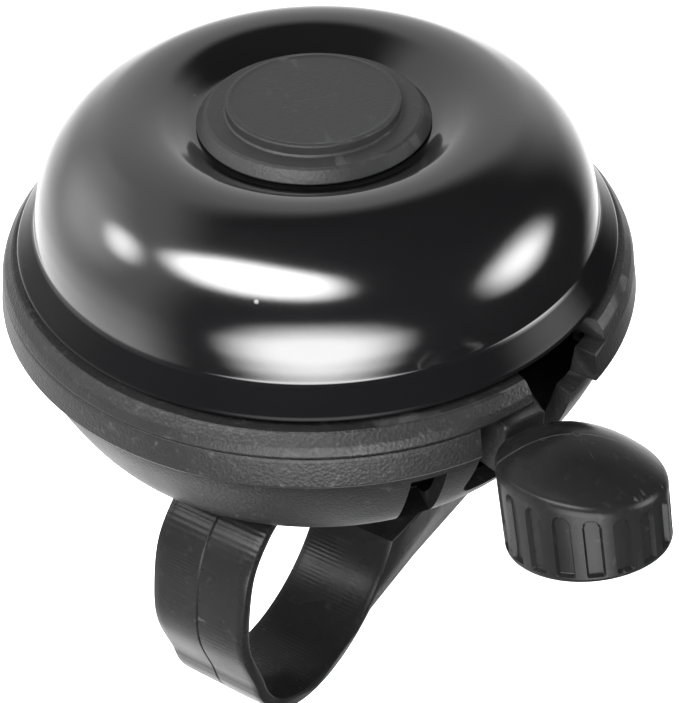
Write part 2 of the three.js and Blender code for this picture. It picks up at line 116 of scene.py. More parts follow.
class BellColours(bpy.types.PropertyGroup):
    """Colours of the visible pieces"""

    lacquer: rgb("Lacquer", "Colour of the dome's lacquer", (0.0035, 0.0035, 0.0038))
    base_plastic: rgb("Base plastic", "Colour of the rim, the bowl and the lever", (0.01, 0.01, 0.0104))
    cap_plastic: rgb("Cap plastic", "Colour of the cap", (0.016, 0.016, 0.0165))
    clamp_plastic: rgb("Clamp plastic", "Colour of the clamp's strap and seat", (0.008, 0.008, 0.0083))
    gear_plastic: rgb("Gear plastic", "Colour of the gears and the striker", (0.62, 0.59, 0.52))
    steel: rgb("Steel", "Colour of pins, screws and clappers", (0.5, 0.5, 0.51))
    brass: rgb("Brass", "Colour of the cap's insert", (0.62, 0.42, 0.16))
    floor: rgb("Floor", "Colour of the floor", (0.9, 0.9, 0.9))


# ---------- Shapes ----------


def polar(radius, degrees):
    """A point on a circle."""
    return radius * math.cos(math.radians(degrees)), radius * math.sin(math.radians(degrees))


def smooth_line(points, steps):
    """A Catmull-Rom curve through the points, with this many steps between two of them."""
    line = []
    for i in range(len(points) - 1):
        before = Vector(points[max(i - 1, 0)])
        a = Vector(points[i])
        b = Vector(points[i + 1])
        after = Vector(points[min(i + 2, len(points) - 1)])
        for j in range(steps):
            t = j / steps
            line.append(tuple(0.5 * (
                2 * a + (b - before) * t + (2 * before - 5 * a + 4 * b - after) * t ** 2
                + (3 * a - before - 3 * b + after) * t ** 3)))
    return line + [tuple(points[-1])]


def rounded(outline, radius, steps=4, closed=True):
    """The outline with its corners rounded. A radius of its own may follow a point's two coordinates."""
    result = []
    count = len(outline)
    for i, point in enumerate(outline):
        corner = Vector(point[:2])
        size = point[2] if len(point) > 2 else radius
        if size <= 0 or (not closed and i in (0, count - 1)):
            result.append(tuple(corner))
            continue
        to_last = Vector(outline[i - 1][:2]) - corner
        to_next = Vector(outline[(i + 1) % count][:2]) - corner
        angle = to_last.angle(to_next)
        if angle > math.radians(174):
            result.append(tuple(corner))
            continue
        reach = min(size / math.tan(angle / 2), 0.48 * to_last.length, 0.48 * to_next.length)
        start = corner + to_last.normalized() * reach
        end = corner + to_next.normalized() * reach
        for j in range(steps + 1):
            t = j / steps
            result.append(tuple((1 - t) ** 2 * start + 2 * t * (1 - t) * corner + t ** 2 * end))
    return result


def pressed(line, depths):
    """The line moved to the left of its direction, by a depth at each point."""
    moved = []
    for i, point in enumerate(line):
        ahead = Vector(line[min(i + 1, len(line) - 1)]) - Vector(line[max(i - 1, 0)])
        ahead.normalize()
        moved.append((point[0] - ahead.y * depths[i], point[1] + ahead.x * depths[i]))
    return moved


def beside(line, distance):
    """The line moved sideways, to the left of its direction."""
    return pressed(line, [distance] * len(line))


def new_piece(name, verts, faces):
    """An object from a list of points in millimetres and its faces, with faces turned outwards."""
    mesh = bpy.data.meshes.new(name)
    mesh.from_pydata([tuple(v) for v in verts], [], faces)
    work = bmesh.new()
    work.from_mesh(mesh)
    bmesh.ops.remove_doubles(work, verts=work.verts, dist=1e-5)
    bmesh.ops.dissolve_degenerate(work, edges=work.edges, dist=1e-6)
    bmesh.ops.recalc_face_normals(work, faces=work.faces)
    work.to_mesh(mesh)
    work.free()
    piece = bpy.data.objects.new(name, mesh)
    bpy.context.scene.collection.objects.link(piece)
    return piece


def turned(name, profile, steps, start=0.0, end=360.0, reshape=None):
    """A closed profile of radius and height, turned round the axis over all or part of a circle."""
    whole = end - start > 359.9
    rows = steps if whole else steps + 1
    count = len(profile)
    verts = []
    for i in range(rows):
        angle = start + (end - start) * i / steps
        for radius, height in profile:
            if reshape:
                radius = reshape(radius, height, angle)
            x, y = polar(radius, angle)
            verts.append((x, y, height))
    faces = []
    for i in range(steps):
        j = (i + 1) % rows
        for k in range(count):
            m = (k + 1) % count
            faces.append((i * count + k, j * count + k, j * count + m, i * count + m))
    if not whole:
        faces.append(tuple(range(count)))
        faces.append(tuple((rows - 1) * count + k for k in reversed(range(count))))
    return new_piece(name, verts, faces)


def extruded(name, outline, low, high, along="Z"):
    """An outline drawn out along Z, or along X with the outline in Y and Z."""
    count = len(outline)
    ends = [low, high]
    if along == "Z":
        verts = [(a, b, end) for end in ends for a, b in outline]
    else:
        verts = [(end, a, b) for end in ends for a, b in outline]
    faces = [tuple(reversed(range(count))), tuple(range(count, 2 * count))]
    for k in range(count):
        m = (k + 1) % count
        faces.append((k, m, count + m, count + k))
    return new_piece(name, verts, faces)


def block(name, low, high, turn=0.0):
    """A block between two corners, turned about the vertical axis."""
    outline = [(low[0], low[1]), (high[0], low[1]), (high[0], high[1]), (low[0], high[1])]
    piece = extruded(name, outline, low[2], high[2])
    move(piece, Matrix.Rotation(math.radians(turn), 4, "Z"))
    return piece


def rod(name, radius, low, high, steps=48, along="Z"):
    """A plain round tool for a hole."""
    outline = [polar(radius, 360 * i / steps) for i in range(steps)]
    return extruded(name, outline, low, high, along)


def move(piece, matrix):
    """Moves a piece's points, so that its own origin stays at the frame's."""
    piece.data.transform(matrix)
    return piece


def rod_at(place, radius, low, high, steps=48, along="Z"):
    """A round tool whose axis passes through a place."""
    return move(rod("tool", radius, low, high, steps, along), Matrix.Translation(place))


def middle_of(node):
    """The middle of a CAD node, from the bell's axis."""
    low, high = (Vector(corner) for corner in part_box(node))
    return (low + high) / 2 / MM - BELL


def apply_modifiers(piece):
    """Makes the result of the piece's modifiers its own mesh."""
    graph = bpy.context.evaluated_depsgraph_get()
    mesh = bpy.data.meshes.new_from_object(piece.evaluated_get(graph))
    piece.modifiers.clear()
    piece.data = mesh


def combine(piece, tools, operation):
    """Cuts the tools from the piece, or joins them to it."""
    for tool in tools:
        step = piece.modifiers.new("combine", "BOOLEAN")
        step.operation = operation
        step.object = tool
        step.solver = "EXACT"
    apply_modifiers(piece)
    for tool in tools:
        bpy.data.objects.remove(tool)
    return piece


def soften(piece, width, angle=35.0):
    """Rounds the sharp edges that are left after cutting."""
    step = piece.modifiers.new("edges", "BEVEL")
    step.width = width
    step.segments = 2
    step.limit_method = "ANGLE"
    step.angle_limit = math.radians(angle)
    step.use_clamp_overlap = True
    apply_modifiers(piece)
    return piece


def settle(piece, matrix, body, slot, *nodes):
    """Puts a finished piece in the frame, in metres, on its body and in place of its nodes."""
    move(piece, Matrix.Scale(MM, 4) @ matrix)
    piece.data.name = piece.name
    for face in piece.data.polygons:
        face.use_smooth = True
    piece.data.set_sharp_from_angle(angle=math.radians(38))
    piece.data.materials.clear()
    piece.data.materials.append(finish_for(slot))
    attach(piece, body)
    if nodes:
        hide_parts(*nodes)
    return piece


def at_bell():
    """From the bell's axis to the frame."""
    return Matrix.Translation(BELL)


def at_knob():
    """From the middle of the knob's upper edge to the bell's axis."""
    lean = Matrix.Rotation(math.radians(KNOB_LEAN), 4, Vector((*polar(1, KNOB_LEANS_TO + 90), 0)))
    return Matrix.Translation(KNOB) @ lean


def swung_open():
    """From the closed clamp to the clamp as it hangs at rest."""
    turn = Matrix.Rotation(math.radians(-OPEN_ANGLE), 4, "X")
    return Matrix.Translation(HINGE) @ turn @ Matrix.Translation(-HINGE)


# ---------- Materials ----------


def emptied(owner):
    """The nodes and links of a material or a world, with nothing in them yet."""
    owner.use_nodes = True
    owner.node_tree.nodes.clear()
    return owner.node_tree.nodes, owner.node_tree.links


def lay_out(columns):
    """Sets each node's place, column by column."""
    for i, column in enumerate(columns):
        for j, node in enumerate(column):
            node.location = (i * 230 - 1400, 500 - j * 260)


def lacquer(name, colour):
    """Glossy lacquer on pressed steel, with a slight orange peel and settled dust, and painted shade on its
    skirt.
    """
    material = bpy.data.materials.new(name)
    nodes, links = emptied(material)

    place = nodes.new("ShaderNodeTexCoord")
    place.label = "Place on the dome"
    peel = nodes.new("ShaderNodeTexNoise")
    peel.label = "Orange peel"
    ripple = nodes.new("ShaderNodeTexNoise")
    ripple.label = "Slow waves left by pressing"
    peel_bump = nodes.new("ShaderNodeBump")
    peel_bump.label = "Peel height"
    wave_bump = nodes.new("ShaderNodeBump")
    wave_bump.label = "Wave height"
    specks = nodes.new("ShaderNodeTexVoronoi")
    specks.label = "Dust specks"
    speck_size = nodes.new("ShaderNodeMapRange")
    speck_size.label = "Size of a speck"
    patches = nodes.new("ShaderNodeTexNoise")
    patches.label = "Where dust settles"
    patch_edge = nodes.new("ShaderNodeMapRange")
    patch_edge.label = "Dusty or clean"
    dust = nodes.new("ShaderNodeMath")
    dust.label = "Dust in its patches"
    tint = nodes.new("ShaderNodeMix")
    tint.label = "Lacquer under dust"
    haze = nodes.new("ShaderNodeTexNoise")
    haze.label = "Polishing haze"
    gloss = nodes.new("ShaderNodeMapRange")
    gloss.label = "Gloss under the haze"
    dull = nodes.new("ShaderNodeMath")
    dull.label = "Dust is dull"
    level = nodes.new("ShaderNodeSeparateXYZ")
    level.label = "Height on the dome"
    # Painted shade: the skirt's specular and coat are turned down by height, which darkens the recess
    # between the dome and the rim.
    skirt = nodes.new("ShaderNodeMapRange")
    skirt.label = "Skirt dulled as painted shade, glossy above"
    coat = nodes.new("ShaderNodeMath")
    coat.label = "Clear coat above the skirt"
    skin = nodes.new("ShaderNodeBsdfPrincipled")
    skin.label = "Lacquer"
    output = nodes.new("ShaderNodeOutputMaterial")
    output.label = "Dome's surface"
    relief_frame = nodes.new("NodeFrame")
    relief_frame.label = "Relief"
    dust_frame = nodes.new("NodeFrame")
    dust_frame.label = "Dust"
    gloss_frame = nodes.new("NodeFrame")
    gloss_frame.label = "Gloss"
    for node in (peel, ripple, peel_bump, wave_bump):
        node.parent = relief_frame
    for node in (specks, speck_size, patches, patch_edge, dust, tint):
        node.parent = dust_frame
    for node in (haze, gloss, dull, level, skirt, coat):
        node.parent = gloss_frame
    lay_out([[place], [peel, ripple, specks, patches, haze, level],
             [peel_bump, wave_bump, speck_size, patch_edge, gloss, skirt], [dust, coat], [tint, dull],
             [skin], [output]])

    peel.inputs["Scale"].default_value = 900
    peel.inputs["Detail"].default_value = 2
    ripple.inputs["Scale"].default_value = 110
    ripple.inputs["Detail"].default_value = 1
    peel_bump.inputs["Strength"].default_value = 0.02
    peel_bump.inputs["Distance"].default_value = 0.0002
    wave_bump.inputs["Strength"].default_value = 0.035
    wave_bump.inputs["Distance"].default_value = 0.001
    specks.inputs["Scale"].default_value = 420
    specks.inputs["Randomness"].default_value = 1
    speck_size.inputs["From Min"].default_value = 0.05
    speck_size.inputs["From Max"].default_value = 0.09
    speck_size.inputs["To Min"].default_value = 1
    speck_size.inputs["To Max"].default_value = 0
    patches.inputs["Scale"].default_value = 160
    patch_edge.inputs["From Min"].default_value = 0.62
    patch_edge.inputs["From Max"].default_value = 0.7
    dust.operation = "MULTIPLY"
    tint.data_type = "RGBA"
    tint.inputs[6].default_value = (*colour, 1)
    tint.inputs[7].default_value = (0.12, 0.12, 0.12, 1)
    haze.inputs["Scale"].default_value = 45
    haze.inputs["Detail"].default_value = 6
    gloss.inputs["From Min"].default_value = 0.3
    gloss.inputs["From Max"].default_value = 0.75
    gloss.inputs["To Min"].default_value = 0.11
    gloss.inputs["To Max"].default_value = 0.17
    dull.operation = "MULTIPLY_ADD"
    dull.inputs[1].default_value = 0.4
    skin.inputs["IOR"].default_value = 1.52
    # The dulled band low on the dome is painted shade, set by height alone.
    skirt.inputs["From Min"].default_value = (BELL.z + PAINTED_SHADE_TOP) * MM
    skirt.inputs["From Max"].default_value = (BELL.z + GLOSSY_FROM) * MM
    skirt.inputs["To Min"].default_value = 0.05
    skirt.inputs["To Max"].default_value = 0.5
    coat.operation = "MULTIPLY_ADD"
    coat.inputs[1].default_value = 1.333
    coat.inputs[2].default_value = -0.067
    skin.inputs["Coat Roughness"].default_value = 0.08

    links.new(place.outputs["Object"], peel.inputs["Vector"])
    links.new(place.outputs["Object"], ripple.inputs["Vector"])
    links.new(place.outputs["Object"], specks.inputs["Vector"])
    links.new(place.outputs["Object"], patches.inputs["Vector"])
    links.new(place.outputs["Object"], haze.inputs["Vector"])
    links.new(ripple.outputs["Fac"], wave_bump.inputs["Height"])
    links.new(wave_bump.outputs["Normal"], peel_bump.inputs["Normal"])
    links.new(peel.outputs["Fac"], peel_bump.inputs["Height"])
    links.new(peel_bump.outputs["Normal"], skin.inputs["Normal"])
    links.new(specks.outputs["Distance"], speck_size.inputs["Value"])
    links.new(patches.outputs["Fac"], patch_edge.inputs["Value"])
    links.new(speck_size.outputs["Result"], dust.inputs[0])
    links.new(patch_edge.outputs["Result"], dust.inputs[1])
    links.new(dust.outputs["Value"], tint.inputs["Factor"])
    links.new(tint.outputs[2], skin.inputs["Base Color"])
    links.new(place.outputs["Object"], level.inputs["Vector"])
    links.new(level.outputs["Z"], skirt.inputs["Value"])
    links.new(skirt.outputs["Result"], skin.inputs["Specular IOR Level"])
    links.new(skirt.outputs["Result"], coat.inputs[0])
    links.new(coat.outputs["Value"], skin.inputs["Coat Weight"])
    links.new(haze.outputs["Fac"], gloss.inputs["Value"])
    links.new(dust.outputs["Value"], dull.inputs[0])
    links.new(gloss.outputs["Result"], dull.inputs[2])
    links.new(dull.outputs["Value"], skin.inputs["Roughness"])
    links.new(skin.outputs["BSDF"], output.inputs["Surface"])
    return material


def moulded_plastic(name, colour, roughness, sheen, grain_size, grain_height, edge_wear, speckle):
    """Moulded plastic: spark-eroded grain, paler rubbed edges and speckled wear."""
    material = bpy.data.materials.new(name)
    nodes, links = emptied(material)

    place = nodes.new("ShaderNodeTexCoord")
    place.label = "Place on the piece"
    grain = nodes.new("ShaderNodeTexNoise")
    grain.label = "Moulded grain"
    pits = nodes.new("ShaderNodeTexVoronoi")
    pits.label = "Grain cells"
    grain_mix = nodes.new("ShaderNodeMath")
    grain_mix.label = "Grain over cells"
    relief = nodes.new("ShaderNodeBump")
    relief.label = "Grain height"
    shape = nodes.new("ShaderNodeNewGeometry")
    shape.label = "Edges and hollows"
    edge = nodes.new("ShaderNodeMapRange")
    edge.label = "Rubbed edges"
    break_up = nodes.new("ShaderNodeTexNoise")
    break_up.label = "Uneven rubbing"
    worn = nodes.new("ShaderNodeMath")
    worn.label = "Edges rubbed unevenly"
    spots = nodes.new("ShaderNodeTexNoise")
    spots.label = "Scuff speckle"
    spot_edge = nodes.new("ShaderNodeMapRange")
    spot_edge.label = "Size of a scuff"
    spot_amount = nodes.new("ShaderNodeMath")
    spot_amount.label = "How much scuffing"
    marks = nodes.new("ShaderNodeMath")
    marks.label = "Wear of both kinds"
    clouds = nodes.new("ShaderNodeTexNoise")
    clouds.label = "Uneven pigment"
    pigment = nodes.new("ShaderNodeMix")
    pigment.label = "Plastic's colour"
    tint = nodes.new("ShaderNodeMix")
    tint.label = "Paler where worn"
    gloss = nodes.new("ShaderNodeMapRange")
    gloss.label = "Uneven sheen"
    skin = nodes.new("ShaderNodeBsdfPrincipled")
    skin.label = "Plastic"
    output = nodes.new("ShaderNodeOutputMaterial")
    output.label = "Moulded surface"
    grain_frame = nodes.new("NodeFrame")
    grain_frame.label = "Grain"
    wear_frame = nodes.new("NodeFrame")
    wear_frame.label = "Wear"
    colour_frame = nodes.new("NodeFrame")
    colour_frame.label = "Colour and sheen"
    for node in (grain, pits, grain_mix, relief):
        node.parent = grain_frame
    for node in (shape, edge, break_up, worn, spots, spot_edge, spot_amount, marks):
        node.parent = wear_frame
    for node in (clouds, pigment, tint, gloss):
        node.parent = colour_frame
    lay_out([[place], [grain, pits, shape, break_up, spots, clouds], [grain_mix, edge, spot_edge],
             [relief, worn, spot_amount], [marks, pigment, gloss], [tint], [skin], [output]])

    grain.inputs["Scale"].default_value = 1000 / grain_size
    grain.inputs["Detail"].default_value = 5
    grain.inputs["Roughness"].default_value = 0.65
    pits.inputs["Scale"].default_value = 700 / grain_size
    grain_mix.operation = "MULTIPLY"
    relief.inputs["Strength"].default_value = 1
    relief.inputs["Distance"].default_value = grain_height * MM
    edge.inputs["From Min"].default_value = 0.555
    edge.inputs["From Max"].default_value = 0.64
    edge.inputs["To Max"].default_value = edge_wear
    break_up.inputs["Scale"].default_value = 500
    break_up.inputs["Detail"].default_value = 4
    worn.operation = "MULTIPLY"
    spots.inputs["Scale"].default_value = 1500
    spots.inputs["Detail"].default_value = 3
    spot_edge.inputs["From Min"].default_value = 0.6
    spot_edge.inputs["From Max"].default_value = 0.75
    spot_amount.operation = "MULTIPLY"
    spot_amount.inputs[1].default_value = speckle
    marks.operation = "ADD"
    marks.use_clamp = True
    clouds.inputs["Scale"].default_value = 130
    clouds.inputs["Detail"].default_value = 4
    pigment.data_type = "RGBA"
    pigment.inputs[6].default_value = (*[0.75 * c for c in colour], 1)
    pigment.inputs[7].default_value = (*[1.3 * c for c in colour], 1)
    tint.data_type = "RGBA"
    tint.inputs[7].default_value = (*[min(6 * c + 0.03, 0.9) for c in colour], 1)
    gloss.inputs["From Min"].default_value = 0.3
    gloss.inputs["From Max"].default_value = 0.7
    gloss.inputs["To Min"].default_value = roughness - 0.05
    gloss.inputs["To Max"].default_value = roughness + 0.07
    skin.inputs["IOR"].default_value = 1.48
    skin.inputs["Specular IOR Level"].default_value = sheen

    links.new(place.outputs["Object"], grain.inputs["Vector"])
    links.new(place.outputs["Object"], pits.inputs["Vector"])
    links.new(place.outputs["Object"], break_up.inputs["Vector"])
    links.new(place.outputs["Object"], spots.inputs["Vector"])
    links.new(place.outputs["Object"], clouds.inputs["Vector"])
    links.new(grain.outputs["Fac"], grain_mix.inputs[0])
    links.new(pits.outputs["Distance"], grain_mix.inputs[1])
    links.new(grain_mix.outputs["Value"], relief.inputs["Height"])
    links.new(relief.outputs["Normal"], skin.inputs["Normal"])
    links.new(shape.outputs["Pointiness"], edge.inputs["Value"])
    links.new(edge.outputs["Result"], worn.inputs[0])
    links.new(break_up.outputs["Fac"], worn.inputs[1])
    links.new(spots.outputs["Fac"], spot_edge.inputs["Value"])
    links.new(spot_edge.outputs["Result"], spot_amount.inputs[0])
    links.new(worn.outputs["Value"], marks.inputs[0])
    links.new(spot_amount.outputs["Value"], marks.inputs[1])
    links.new(clouds.outputs["Fac"], pigment.inputs["Factor"])
    links.new(pigment.outputs[2], tint.inputs[6])
    links.new(marks.outputs["Value"], tint.inputs["Factor"])
    links.new(tint.outputs[2], skin.inputs["Base Color"])
    links.new(clouds.outputs["Fac"], gloss.inputs["Value"])
    links.new(gloss.outputs["Result"], skin.inputs["Roughness"])
    links.new(skin.outputs["BSDF"], output.inputs["Surface"])
    return material


def turned_metal(name, colour, roughness):
    """Bare metal with fine tool lines and light tarnish."""
    material = bpy.data.materials.new(name)
    nodes, links = emptied(material)

    place = nodes.new("ShaderNodeTexCoord")
    place.label = "Place on the metal"
    stretch = nodes.new("ShaderNodeMapping")
    stretch.label = "Lines run round"
    lines = nodes.new("ShaderNodeTexNoise")
    lines.label = "Tool lines"
    relief = nodes.new("ShaderNodeBump")
    relief.label = "Depth of the lines"
    tarnish = nodes.new("ShaderNodeTexNoise")
    tarnish.label = "Tarnish"
    tint = nodes.new("ShaderNodeMix")
    tint.label = "Bright to tarnished"
    gloss = nodes.new("ShaderNodeMapRange")
    gloss.label = "Duller where tarnished"
    skin = nodes.new("ShaderNodeBsdfPrincipled")
    skin.label = "Metal"
    output = nodes.new("ShaderNodeOutputMaterial")
    output.label = "Metal surface"
    line_frame = nodes.new("NodeFrame")
    line_frame.label = "Tool marks"
    tarnish_frame = nodes.new("NodeFrame")
    tarnish_frame.label = "Tarnish"
    for node in (stretch, lines, relief):
        node.parent = line_frame
    for node in (tarnish, tint, gloss):
        node.parent = tarnish_frame
    lay_out([[place], [stretch, tarnish], [lines, tint, gloss], [relief], [skin], [output]])

    stretch.inputs["Scale"].default_value = (300, 300, 6000)
    lines.inputs["Scale"].default_value = 1
    lines.inputs["Detail"].default_value = 3
    relief.inputs["Strength"].default_value = 0.25
    relief.inputs["Distance"].default_value = 0.00003
    tarnish.inputs["Scale"].default_value = 350
    tarnish.inputs["Detail"].default_value = 5
    tint.data_type = "RGBA"
    tint.inputs[6].default_value = (*colour, 1)
    tint.inputs[7].default_value = (*[0.6 * c for c in colour], 1)
    gloss.inputs["To Min"].default_value = roughness - 0.06
    gloss.inputs["To Max"].default_value = roughness + 0.18
    skin.inputs["Metallic"].default_value = 1

    links.new(place.outputs["Object"], stretch.inputs["Vector"])
    links.new(stretch.outputs["Vector"], lines.inputs["Vector"])
    links.new(place.outputs["Object"], tarnish.inputs["Vector"])
    links.new(lines.outputs["Fac"], relief.inputs["Height"])
    links.new(relief.outputs["Normal"], skin.inputs["Normal"])
    links.new(tarnish.outputs["Fac"], tint.inputs["Factor"])
    links.new(tarnish.outputs["Fac"], gloss.inputs["Value"])
    links.new(tint.outputs[2], skin.inputs["Base Color"])
    links.new(gloss.outputs["Result"], skin.inputs["Roughness"])
    links.new(skin.outputs["BSDF"], output.inputs["Surface"])
    return material


def painted_floor(name, colour):
    """Matt painted board with a faint mottle."""
    material = bpy.data.materials.new(name)
    nodes, links = emptied(material)
    place = nodes.new("ShaderNodeTexCoord")
    place.label = "Place on the floor"
    mottle = nodes.new("ShaderNodeTexNoise")
    mottle.label = "Faint mottle"
    tint = nodes.new("ShaderNodeMix")
    tint.label = "Paint"
    skin = nodes.new("ShaderNodeBsdfPrincipled")
    skin.label = "Matt paint"
    output = nodes.new("ShaderNodeOutputMaterial")
    output.label = "Floor"
    lay_out([[place], [mottle], [tint], [skin], [output]])
    mottle.inputs["Scale"].default_value = 8
    tint.data_type = "RGBA"
    tint.inputs[6].default_value = (*colour, 1)
    tint.inputs[7].default_value = (*[0.98 * c for c in colour], 1)
    skin.inputs["Roughness"].default_value = 0.9
    skin.inputs["Specular IOR Level"].default_value = 0.1
    skin.inputs["Emission Color"].default_value = (*colour, 1)
    skin.inputs["Emission Strength"].default_value = 0.8
    links.new(place.outputs["Object"], mottle.inputs["Vector"])
    links.new(mottle.outputs["Fac"], tint.inputs["Factor"])
    links.new(tint.outputs[2], skin.inputs["Base Color"])
    links.new(skin.outputs["BSDF"], output.inputs["Surface"])
    return material


def finish_for(slot):
    """The material of a slot, made once."""
    name = slot.replace("_", " ")
    if name in bpy.data.materials:
        return bpy.data.materials[name]
    colours = bpy.context.scene.bell_colours
    if slot == "black_lacquer":
        return lacquer(name, colours.lacquer)
    if slot == "grained_plastic":
        return moulded_plastic(name, colours.base_plastic, roughness=0.36, sheen=0.22, grain_size=0.2,
                               grain_height=0.05, edge_wear=0.6, speckle=0.22)
    if slot == "cap_plastic":
        return moulded_plastic(name, colours.cap_plastic, roughness=0.46, sheen=0.28, grain_size=0.2,
                               grain_height=0.03, edge_wear=0.25, speckle=0.1)
    if slot == "band_plastic":
        return moulded_plastic(name, colours.clamp_plastic, roughness=0.24, sheen=0.12, grain_size=0.3,
                               grain_height=0.008, edge_wear=0.6, speckle=0.1)
    if slot == "gear_plastic":
        return moulded_plastic(name, colours.gear_plastic, roughness=0.4, sheen=0.4, grain_size=0.6,
                               grain_height=0.02, edge_wear=0.3, speckle=0.05)
    if slot == "brass":
        return turned_metal(name, colours.brass, roughness=0.3)
    return turned_metal("steel", colours.steel, roughness=0.26)


# ---------- Pieces ----------


class BELL_OT_dome(bpy.types.Operator):
    """Builds the pressed dome with its flared skirt"""

    bl_idname = "bell.dome"
    bl_label = "Dome"

    def execute(self, context):
        sizes = context.scene.bell_sizes
        wall = sizes.dome_wall / MM
        skin = [(2.3, 12.2), (6.0, 12.2)] + smooth_line(
            [(9.6, 12.2), (10.3, 12.32), (11.7, 13.05), (13.2, 13.75), (14.9, 13.97), (16.7, 13.65),
             (18.4, 12.85), (20.0, 11.85), (21.3, 10.7), (22.3, 9.5), (23.1, 8.1), (23.6, 6.8),
             (23.92, 5.6), (24.1, 4.75)], 6)
        skin += [(24.13, 4.62), (24.19, 4.53), (24.26, 4.45), (24.7, 3.94), (25.1, 3.48), (25.5, 3.02)]
        lip = [(25.7, 2.8), (25.85, 2.6), (25.86, 2.4), (25.7, 2.25)]
        lining = [point for point in beside(skin, -wall) if point[1] > 2.15 and point[0] < 25.4]
        profile = skin + lip + list(reversed(lining))
        dome = turned("pressed_dome", profile, 2 * sizes.turning_steps)
        settle(dome, at_bell(), "base", "black_lacquer", "dome")
        return {"FINISHED"}


class BELL_OT_cap(bpy.types.Operator):
    """Builds the stepped cap on top of the dome"""

    bl_idname = "bell.cap"
    bl_label = "Cap"

    def execute(self, context):
        sizes = context.scene.bell_sizes
        radius = sizes.cap_radius / MM
        profile = rounded(
            [(4.3, 12.31, 0.05), (radius - 0.08, 12.31, 0.06), (radius, 12.45, 0.08), (9.05, 13.24, 0.14),
             (8.78, 13.38, 0.1), (7.42, 13.36, 0.08), (7.24, 13.5, 0.05), (7.24, 14.25, 0.16),
             (6.9, 14.3, 0.1), (6.6, 14.22, 0.3), (5.2, 14.2, 0), (4, 14.19, 0), (2.8, 14.18, 0),
             (1.6, 14.17, 0), (0.6, 14.17, 0), (0, 14.17, 0), (0, 13.5, 0), (4.3, 13.5, 0.05)], 0.1, 5)
        cap = turned("stepped_cap", profile, sizes.turning_steps)
        settle(cap, at_bell(), "base", "cap_plastic", "cap_nut")
        return {"FINISHED"}


class BELL_OT_rim(bpy.types.Operator):
    """Builds the upper rim ring, open where the lever passes"""

    bl_idname = "bell.rim"
    bl_label = "Rim ring"

    def execute(self, context):
        steps = context.scene.bell_sizes.turning_steps
        profile = rounded(
            [(25.0, -1.6, 0.1), (25.0, 0.02, 0.05), (27.4, 0.02, 0.08), (27.46, 0.25, 0.2),
             (27.15, 0.95, 0.8), (26.5, 1.68, 0.1), (26.3, 1.79, 0.12), (25.0, 1.8, 0.1),
             (24.4, 1.4, 0.1), (24.4, -1.6, 0.1)], 0.1, 5)
        ring = turned("rim_band", profile, steps, -0.6, 338.8)
        cutter = turned("tool", [(23, -3), (25.17, -3), (25.17, 0.12), (23, 0.12)], 40, -33, 1)
        combine(ring, [cutter], "DIFFERENCE")
        settle(ring, at_bell(), "base", "grained_plastic", "rim_ring")
        return {"FINISHED"}


class BELL_OT_base(bpy.types.Operator):
    """Builds the bowl and its rim band, with the lever's slot and the notch"""

    bl_idname = "bell.base"
    bl_label = "Base"

    def execute(self, context):
        steps = context.scene.bell_sizes.turning_steps
        outer = [(0.0, -13.75), (18.6, -13.75)] + smooth_line(
            [(19.2, -13.74), (20.8, -13.5), (22.4, -12.8), (23.6, -11.6), (24.5, -10.1), (25.2, -8.6),
             (25.9, -6.9), (26.5, -5.2), (26.85, -3.9), (26.95, -2.95)], 4)
        band = rounded(
            [(26.95, -2.75, 0.06), (27.75, -2.75, 0.1), (27.93, -2.45, 0.15), (27.5, -0.3, 0.15),
             (27.4, -0.06, 0.1), (25.6, -0.06, 0.08), (25.4, -2.75, 0)], 0.1, 4, closed=False)
        inner = smooth_line([(25.4, -2.9), (24.6, -6.2), (23.2, -9.6), (21.3, -11.6), (18.5, -12.15)], 6)
        profile = outer + band + inner + [(0.0, -12.15)]
        bowl = turned("bowl", profile, steps)
        slot_band = turned("tool", [(22, -2.75), (30, -2.75), (30, 1), (22, 1)], 40, -31.7, -4.5)
        slot_outline = rounded([(-4.8, -2.6, 0), (4.8, -2.6, 0), (4.8, -9.9, 1.8), (-4.8, -9.9, 1.8)], 0, 8)
        slot_bowl = extruded("tool", slot_outline, 20.5, 30, "X")
        move(slot_bowl, Matrix.Rotation(math.radians(-20.25), 4, "Z"))
        notch = block("tool", (20.5, -1.5, -12), (30, 1.5, -4.35), -39.8)
        combine(bowl, [slot_band, slot_bowl, notch], "DIFFERENCE")
        floor, through, blind = -12.4, -15, -12.55
        idler = middle_of("idler_pin")
        idler.z = 0
        along = polar(5, ARM_ANGLE)
        aside = polar(2.3, ARM_ANGLE - 90)
        spring_peg = LEVER_PIVOT + Vector((along[0] + aside[0], along[1] + aside[1], 0))
        combine(bowl, [rod_at(LEVER_PIVOT, 2.6, floor, -11.4), rod_at(idler, 2.4, floor, -11.4),
                       rod_at(spring_peg, 0.7, floor, -6.2, 24)], "UNION")
        holes = [rod_at(LEVER_PIVOT, 1.52, blind, -6), rod_at(idler, 1.32, blind, -6)]
        holes += [rod_at(Vector((2, y, 0)), 1.1, through, -6) for y in (-11.9, 10.1)]
        holes.append(rod("tool", 2.02, through, -6))
        combine(bowl, holes, "DIFFERENCE")
        settle(bowl, at_bell(), "base", "grained_plastic", "base_shell")
        return {"FINISHED"}


